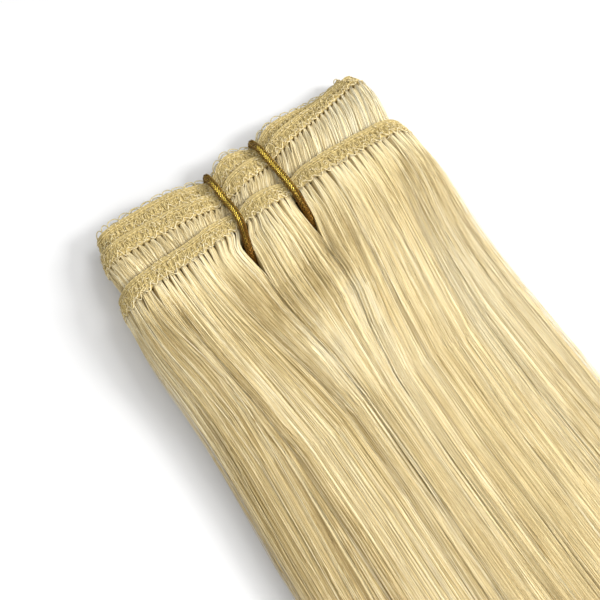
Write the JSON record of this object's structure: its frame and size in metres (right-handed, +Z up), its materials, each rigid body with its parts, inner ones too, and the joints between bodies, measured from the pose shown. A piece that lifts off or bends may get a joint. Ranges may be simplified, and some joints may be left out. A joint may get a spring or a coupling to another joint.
{
  "type": "hair weft",
  "caption": "Machine-sewn hair weft wound flat into a bundle: a stitched track in stepped turns, straight hair hanging from it in locks, and elastic ties round the track.",
  "frame": {"origin": "middle of the underside that the bundle lies on", "axes": "+X along the track to the right, +Y from the hair's tips to the track's looped edge, +Z up through the bundle"},
  "size_m": [0.1081, 0.3768, 0.0204],
  "materials": {
    "sewn_track": "matte sewn thread over hair",
    "blond_hair": "soft sheen along the strands",
    "gold_elastic": "glossy metallic yarn"
  },
  "bodies": {
    "root": {"track": "sewn_track", "inner_hair": "blond_hair", "outer_hair": "blond_hair", "tie_left": "gold_elastic", "tie_right": "gold_elastic"}
  },
  "joints": []
}
